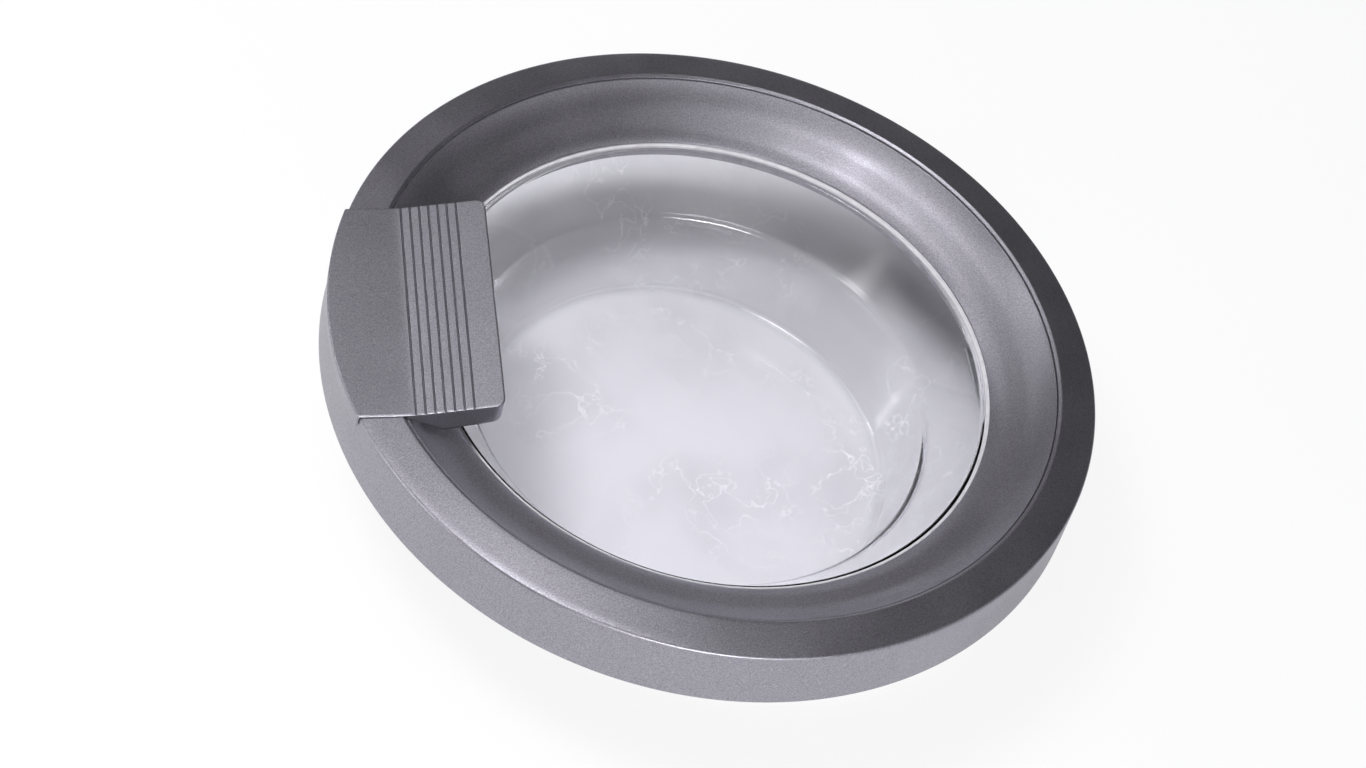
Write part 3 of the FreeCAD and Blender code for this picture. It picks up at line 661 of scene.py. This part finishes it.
@dataclass
class GlassBowl:
    """Pressed glass bowl: flat flange, sloping upper wall, a bend, a steeper lower wall and a flat floor."""

    flange: float = 168.5
    lip: float = 152.0
    flange_top: float = -22.3
    bend: Point = (128.4, -56.0)
    foot: Point = (117.6, -104.0)
    thick: float = 5.0
    lip_wall: float = 4.0
    bend_wall: Point = (4.8, -1.4)
    foot_wall: float = 4.3
    curve_steps: int = 14
    longest: float = 5.0
    turns: int = 300
    finish: Finish = BOWL_GLASS

    def outline(self) -> Array:
        """Walk from the underside's centre out to the flange and down the inside to the centre.

        Returns:
            Radius and height of each point; the first and the last lie on the axis.
        """
        (bend, bend_height), (foot, foot_height) = self.bend, self.foot
        under = self.flange_top - self.thick
        return evenly(rounded_path([
            (0.0, foot_height - self.thick, 0), (foot + self.foot_wall, foot_height - self.thick, 10.0),
            (bend + self.bend_wall[0], bend_height + self.bend_wall[1], 18.0),
            (self.lip + self.lip_wall, under, 3.0), (self.flange, under, 0.6), (self.flange, self.flange_top, 0.6),
            (self.lip, self.flange_top, 2.2), (bend, bend_height, 14.0), (foot, foot_height, 5.0),
            (0.0, foot_height, 0)], self.curve_steps), self.longest)

    def build(self, door: Door) -> None:
        """Make the bowl: a turned wall between two points on the axis, each with a fan of triangles.

        Args:
            door: The door that the bowl is put on.
        """
        outline = self.outline()
        wall = TurnedRing(outline[1:-1], self.turns).points()
        rows = len(wall)
        points = np.concatenate([wall.reshape(-1, 3), np.insert(outline[[0, -1]], 1, 0.0, axis=1)])
        left = np.arange(self.turns)
        right = (left + 1) % self.turns
        last = (rows - 1) * self.turns
        below = np.full(self.turns, rows * self.turns)
        above = below + 1
        faces = [*strip(rows, self.turns, False, True).tolist(), *np.stack([below, right, left], -1).tolist(),
                 *np.stack([last + left, last + right, above], -1).tolist()]
        bowl = door.place("bowl_pressed", points, faces, self.finish, Body.DOOR, Node.BOWL)
        # A glass shader stops direct lamp light, so the bowl is left out of shadows and the floor under it is lit.
        bowl.visible_shadow = False


@dataclass
class PullHandle:
    """Cover plate that follows the rim, a rising ribbed grip with rounded corners, arms and cam."""

    half: float = 70.5
    cover: float = 211.6
    drop: float = 6.0
    lip: float = 1.0
    lip_until: float = -190.0
    bend: Point = (-172.0, 4.0)
    bend_soft: float = 2.0
    plate_slope: float = 0.0947
    under_slope: float = 0.1013
    plate_thick: float = 0.95
    plate_end: float = -173.0
    grip_slope: float = 0.24
    end: float = -126.0
    belly: tuple[Point, ...] = ((-173.0, 0.0), (-172.9, 1.2), (-155.0, -6.9), (-126.0, 2.5))
    corner: float = 5.0
    round_over: float = 0.8
    first_groove: float = -170.2
    pitch: float = 4.8
    grooves: int = 7
    groove_half: float = 0.55
    groove_deep: float = 0.9
    tail: float = -139.0
    round_length: float = 85.0  # About the handle's length; the first stations are counted in it.
    least_wall: float = 0.05
    wall_levels: tuple[float, ...] = (0.08, 0.5, 0.92)  # Shares of the way down the side wall.
    arc_reach: float = 36.0
    inset_reach: float = 10.0
    columns: int = 61
    crowding: float = 0.94  # Share of a quarter wave over which the columns crowd towards the sides.
    pivot: Point = (-200.0, -12.0)
    stem: tuple[Point, Point] = ((-3.4, 0.6), (4.5, 1.4))
    eye: float = 4.8
    arm: Point = (24.0, 29.0)
    web_half: float = 3.0
    cam_root: float = 4.6
    cam_nose: Point = (6.7, -12.0)
    nose_radius: float = 3.0
    finish: Finish = GRIP_PAINT

    def top(self, x: Array) -> Array:
        """Give the top's height: one slope outside the bend and a steeper one inside, less the grooves.

        With b the way past the bend, the steeper slope counts for (b + sqrt(b^2 + soft^2)) / 2. A groove
        dips by deep (1 - s)^2 (1 + 2 s), with s the distance over its half width, up to 1.

        Args:
            x: Places along the handle.

        Returns:
            Heights.
        """
        past = x - self.bend[0]
        soft = 0.5 * (past + np.sqrt(past ** 2 + self.bend_soft ** 2))
        height = self.bend[1] + past * self.plate_slope + soft * (self.grip_slope - self.plate_slope)
        for n in range(self.grooves):
            s = np.clip(np.abs(x - self.first_groove - n * self.pitch) / self.groove_half, 0, 1)
            height = height - self.groove_deep * (1 - s) ** 2 * (1 + 2 * s)
        return height

    def under(self, x: Array, radius: Array) -> Array:
        """Give the underside's height: lip outside, thin plate, then the wedge that is deepest at its belly.

        Args:
            x: Places along the handle.
            radius: Distances from the door's axis.

        Returns:
            Heights.
        """
        plate = self.bend[1] - self.plate_thick + (x - self.plate_end) * self.under_slope
        low = np.where(x < self.plate_end, plate, np.interp(x, *zip(*self.belly)))
        on_lip = (radius > self.cover - self.lip - 1e-3) & (x < self.lip_until)
        return np.where(on_lip, -self.drop, low)

    def stations(self) -> Array:
        """Space the grid along the handle, close at the outer arc, the grooves and the end.

        Returns:
            Shares of the way from the outer arc, 0, to the grip's end, 1.
        """
        length = self.end + self.cover
        near = np.concatenate([[0, 0.2, 0.4, 0.7, 0.96, 1.04], np.linspace(1.6, 39, 16)]) / self.round_length
        across = np.array([-3, -1.6, -1.05, -0.7, -0.35, 0, 0.35, 0.7, 1.05, 1.6, 3]) * self.groove_half
        middles = self.first_groove + np.arange(self.grooves)[:, None] * self.pitch
        grooves = (middles + across + self.cover) / length
        tail = (np.linspace(self.tail, self.end, 26) + self.cover) / length
        return np.unique(np.round(np.concatenate([near, grooves.ravel(), tail]), 6))

    def plan(self, inset: float) -> tuple[Array, Array]:
        """Lay the grid out in plan, drawn in by an inset.

        Points lie on circles about the door's axis at the outer arc and blend into straight rows over
        arc_reach. The half width near the end is half - corner + sqrt(corner^2 - d^2), with d the way
        into the corner.

        Args:
            inset: How far the border lies inside the handle's outline.

        Returns:
            x, from the arc to the end, and y across.
        """
        share = self.stations()[:, None]
        quarter = math.pi / 2 * self.crowding
        spread = np.sin(np.linspace(-1, 1, self.columns) * quarter)[None] / math.sin(quarter)
        straight = -self.cover + share * (self.end + self.cover)
        corner = self.corner - inset
        d = np.clip(straight - (self.end - self.corner), 0, self.corner) / self.corner * corner
        y = spread * (self.half - inset - corner + np.sqrt(corner ** 2 - d ** 2))
        arc = -np.sqrt((self.cover - inset) ** 2 - y ** 2)
        blend = np.clip((straight + self.cover) / self.arc_reach, 0, 1)
        inner = straight - inset * np.clip((straight - self.end) / self.inset_reach + 1, 0, 1)
        x = np.where(blend < 1, arc + (-self.cover + self.arc_reach - arc) * blend, inner)
        return x, y

    @staticmethod
    def border(rows: int, columns: int) -> Array:
        """Number a grid's border points, once round."""
        number = np.arange(rows * columns).reshape(rows, columns)
        return np.concatenate([number[0, :-1], number[:-1, -1], number[-1, :0:-1], number[:0:-1, 0]])

    def shell(self) -> tuple[Array, list[list[int]]]:
        """Close the handle with its top grid, a rounded border, the side wall and the under grid.

        The border steps through a quarter circle: out by r sin a and down by r (1 - cos a).

        Returns:
            Points and faces.
        """
        x, y = self.plan(self.round_over)
        rows, columns = x.shape
        top = np.stack([x, y, self.top(x)], -1).reshape(-1, 3)
        loop = self.border(rows, columns)
        edge = top[loop]
        along = np.roll(edge, -1, axis=0) - np.roll(edge, 1, axis=0)
        out = np.stack([-along[:, 1], along[:, 0], 0 * along[:, 0]], -1)
        out /= np.linalg.norm(out, axis=1, keepdims=True)
        x, y = self.plan(0.0)
        low = np.stack([x, y, self.under(x, np.hypot(x, y))], -1).reshape(-1, 3)
        rings = [edge + out * self.round_over * math.sin(a) - (0, 0, self.round_over * (1 - math.cos(a)))
                 for a in np.linspace(0, math.pi / 2, 6)[1:]]
        side, foot = rings[-1], low[loop]
        side[:, 2] = np.maximum(side[:, 2], foot[:, 2] + self.least_wall)
        rings += [side * (1 - t) + foot * t for t in self.wall_levels]
        first_ring, count = rows * columns, len(rings) * len(loop)
        levels = np.concatenate([loop[None], first_ring + np.arange(count).reshape(len(rings), -1),
                                 (first_ring + count + loop)[None]])
        near, far = levels[:-1], levels[1:]
        sides = np.stack([np.roll(near, -1, 1), np.roll(far, -1, 1), far, near], -1).reshape(-1, 4)
        cells = strip(rows, columns, False, False)
        faces = [*cells[:, ::-1].tolist(), *(cells + first_ring + count).tolist(), *sides.tolist()]
        return np.concatenate([top, *rings, low]), faces

    @staticmethod
    def bar(outline: Array, start: float, end: float) -> tuple[Array, list[list[int]]]:
        """Carry a closed outline of x and height across the handle, with flat ends.

        Args:
            outline: Points of x and height.
            start: y of the first end.
            end: y of the second end.

        Returns:
            Points and faces.
        """
        count = len(outline)
        points = np.concatenate([np.insert(outline, 1, y, axis=1) for y in (start, end)])
        number = np.arange(count)
        return points, [*strip(2, count, False, True).tolist(), number[::-1].tolist(), (number + count).tolist()]

    def inner_works(self) -> list[tuple[Array, list[list[int]]]]:
        """Make the two arms, the web and the cam, each rounded about the pin.

        The cam is half a circle about the pin and half a circle at its nose, joined by straight sides.

        Returns:
            Points and faces of each bar.
        """
        x, z = self.pivot
        half_turn = np.linspace(0, -math.pi, 16)
        stem = np.concatenate([[(x + dx, height) for dx, height in self.stem],
                               np.stack([x + self.eye * np.cos(half_turn), z + self.eye * np.sin(half_turn)], -1)])
        nose_x, nose_z = self.cam_nose
        near = math.atan2(nose_z, nose_x) + math.pi / 2 + np.linspace(0, math.pi, 14)
        far = near - math.pi
        cam = np.concatenate([
            np.stack([x + self.cam_root * np.cos(near), z + self.cam_root * np.sin(near)], -1),
            np.stack([x + nose_x + self.nose_radius * np.cos(far), z + nose_z + self.nose_radius * np.sin(far)], -1)])
        inside, outside = self.arm
        return [self.bar(stem, inside, outside), self.bar(stem, -outside, -inside),
                self.bar(stem, -self.web_half, self.web_half), self.bar(cam[::-1], -self.web_half, self.web_half)]

    def build(self, door: Door) -> None:
        """Make the handle as one mesh.

        Args:
            door: The door that the handle is put on.
        """
        points: list[Array] = []
        faces: list[list[int]] = []
        count = 0
        for part, cells in [self.shell(), *self.inner_works()]:
            faces += [[corner + count for corner in cell] for cell in cells]
            points.append(part)
            count += len(part)
        door.place("handle_ribbed", np.concatenate(points), faces, self.finish, Body.HANDLE, Node.LEVER)


# Studio


@dataclass(frozen=True)
class SoftBox:
    """One soft box: direction from the door, distance and sides in metres, and power in watts."""

    name: str
    towards: tuple[float, float, float]
    away: float
    size: Point
    power: float
    mirrored: bool = True
    aim_height: float = 0.1
    full_until: float = 0.12
    dark_from: float = 0.56
    middle_glow: float = 2.2

    def hang(self) -> None:
        """Hang the box facing the door.

        Its cloth glows smoothly less from full_until to dark_from, as shares of a side from the middle. A
        box that isn't mirrored only lights: gloss and glass don't show it.
        """
        data = bpy.data.lights.new(self.name, "AREA")
        data.shape, data.size, data.size_y, data.energy = "RECTANGLE", *self.size, self.power
        data.use_nodes = True
        tree = data.node_tree
        tree.nodes.clear()
        spot = add(tree, "NewGeometry").outputs["Parametric"]
        reach = add(tree, "VectorMath", {0: spot, 1: (0.5, 0.5, 0.0)}, operation="DISTANCE").outputs["Value"]
        glow = add(tree, "MapRange", {"Value": reach, "From Min": self.full_until, "From Max": self.dark_from,
                                      "To Min": self.middle_glow, "To Max": 0.0},
                   interpolation_type="SMOOTHSTEP")
        add(tree, "OutputLight", {"Surface": add(tree, "Emission", {"Color": WHITE, "Strength": glow})})
        lamp = bpy.data.objects.new(self.name, data)
        bpy.context.scene.collection.objects.link(lamp)
        aim = Vector(self.towards).normalized()
        lamp.location = aim * self.away + Vector((0, 0, self.aim_height))
        lamp.rotation_euler = aim.to_track_quat("Z", "Y").to_euler()
        lamp.visible_camera = False
        lamp.visible_glossy = self.mirrored
        lamp.visible_transmission = self.mirrored


BOXES = (
    SoftBox("fill_box", (-0.45, 0.02, 0.89), 1.7, (0.75, 0.75), 32.0, False),
    SoftBox("upper_left_box", (-0.45, -0.25, 0.86), 1.7, (1.6, 1.4), 4.6),
    SoftBox("top_box", (-0.14, 0.11, 0.98), 1.7, (0.6, 0.55), 7.2),
    SoftBox("back_left_box", (-0.40, 0.50, 0.77), 1.7, (1.3, 1.2), 3.1),
    SoftBox("side_card", (-0.70, 0.48, 0.53), 1.7, (0.26, 0.30), 2.8),
    SoftBox("left_box", (-0.90, -0.30, 0.30), 1.7, (0.6, 0.3), 1.8),
    SoftBox("front_box", (0.00, -0.78, 0.62), 1.7, (2.4, 1.6), 5.2),
    SoftBox("right_box", (0.75, -0.45, 0.50), 1.7, (2.0, 1.4), 2.5),
    SoftBox("back_strip", (0.20, 0.97, 0.12), 1.9, (2.0, 0.20), 1.1),
    SoftBox("edge_front", (-0.06, -0.98, 0.22), 1.9, (1.6, 0.20), 24.0),
    SoftBox("edge_left", (-0.97, -0.12, 0.22), 1.9, (0.9, 0.20), 7.0),
)


@dataclass(frozen=True)
class FloorPaper(Finish):
    """Matt pale studio paper that the camera sees near white, with the door's shadow on it.

    Gloss sees it near white too, but with a painted shadow that makes it dimmer at the door's right, where the
    door shades it. A ray through glass counts as gloss and as transmission, so the glass share takes most of the
    gloss share back.
    """

    colour: str = "#cfcfd3"
    glow: float = 1.0
    camera_share: float = 0.88
    gloss_share: float = 0.85
    painted_shadow_share: float = 0.40
    painted_shadow_from: float = 0.15
    painted_shadow_to: float = 0.22
    glass_share: float = -0.73

    def shade(self, tree: bpy.types.NodeTree, position: bpy.types.NodeSocket) -> bpy.types.Node:
        """Mix lit paper with plain white by the kind of ray.

        Args:
            tree: The material's node tree.
            position: The point on the floor in metres.

        Returns:
            The shader node.
        """
        rays = add(tree, "LightPath").outputs
        across = add(tree, "SeparateXYZ", {"Vector": position}).outputs["X"]
        # Painted shadow: the share that gloss sees falls across x, towards the door's right.
        gloss = add(tree, "MapRange", {"Value": across, "From Min": self.painted_shadow_from, "From Max": self.painted_shadow_to,
                                       "To Min": self.gloss_share, "To Max": self.painted_shadow_share})
        share: bpy.types.Node | float = 0.0
        for ray, part in (("Is Camera Ray", self.camera_share), ("Is Glossy Ray", gloss),
                          ("Is Transmission Ray", self.glass_share)):
            share = add(tree, "Math", {0: rays[ray], 1: part, 2: share}, operation="MULTIPLY_ADD")
        paper = add(tree, "BsdfDiffuse", {"Color": linear(self.colour)})
        white = add(tree, "Emission", {"Color": WHITE, "Strength": self.glow})
        return add(tree, "MixShader", {0: share, 1: paper, 2: white})


@dataclass(frozen=True)
class Studio:
    """Pale floor, white surroundings, soft boxes and the camera."""

    lens: float = 65.886
    sensor: float = 36.0
    far_clip: float = 60.0
    camera_mm: tuple[float, float, float] = (-351.0, -842.4, 985.4)
    right: tuple[float, float, float] = (0.9683, -0.1257, 0.2159)
    up: tuple[float, float, float] = (-0.0377, 0.7810, 0.6234)
    back: tuple[float, float, float] = (-0.2470, -0.6118, 0.7515)
    floor_half: float = 9.0
    floor_height: float = -0.0004
    horizon_glow: float = 0.38
    overhead_glow: float = 0.05
    overhead_from: float = 0.4

    def floor(self) -> None:
        """Lay the paper just under the door."""
        half = self.floor_half
        mesh = bpy.data.meshes.new("floor")
        mesh.from_pydata([(x, y, self.floor_height) for x, y in
                          ((-half, -half), (half, -half), (half, half), (-half, half))], [], [(0, 1, 2, 3)])
        mesh.materials.append(FloorPaper("studio_floor").build())
        floor = bpy.data.objects.new("floor", mesh)
        bpy.context.scene.collection.objects.link(floor)

    def world(self) -> None:
        """Surround the door by a dome that is pale at the horizon and dim overhead; the camera sees white."""
        world = bpy.data.worlds.new("studio")
        bpy.context.scene.world = world
        world.use_nodes = True
        tree = world.node_tree
        tree.nodes.clear()
        height = add(tree, "SeparateXYZ", {0: add(tree, "TexCoord").outputs["Generated"]}).outputs["Z"]
        glow = add(tree, "MapRange", {"Value": height, "From Min": 0.0, "From Max": self.overhead_from,
                                      "To Min": self.horizon_glow, "To Max": self.overhead_glow})
        dome = add(tree, "Background", {"Strength": glow})
        white = add(tree, "Background", {"Color": WHITE})
        seen = add(tree, "LightPath").outputs["Is Camera Ray"]
        add(tree, "OutputWorld", {"Surface": add(tree, "MixShader", {0: seen, 1: dome, 2: white})})

    def camera(self) -> None:
        """Set the camera to the photograph's place and direction."""
        data = bpy.data.cameras.new("view")
        data.lens, data.sensor_width, data.clip_end = self.lens, self.sensor, self.far_clip
        camera = bpy.data.objects.new("view", data)
        bpy.context.scene.collection.objects.link(camera)
        turn = Matrix((self.right, self.up, self.back)).transposed().to_4x4()
        eye = (Vector(self.camera_mm) + Vector((0, 0, RIM_HEIGHT))) * MILLIMETRE
        camera.matrix_world = Matrix.Translation(eye) @ turn
        bpy.context.scene.camera = camera

    def build(self) -> None:
        """Set up the whole studio."""
        self.floor()
        self.world()
        for box in BOXES:
            box.hang()
            log.info("%s: %.1f W", box.name, box.power)
        self.camera()
        bpy.context.scene.view_settings.view_transform = "Standard"


def main() -> None:
    """Build the dressed door and its studio."""
    logging.basicConfig(level=logging.INFO)
    door = Door(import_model())
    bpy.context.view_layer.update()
    for sub_assembly in (OuterFrame(), TrimRing(), GlassSeal(), GlassBowl(), PullHandle()):
        sub_assembly.build(door)
    door.dress_packed_nodes()
    Studio().build()


if __name__ == "__main__":
    main()
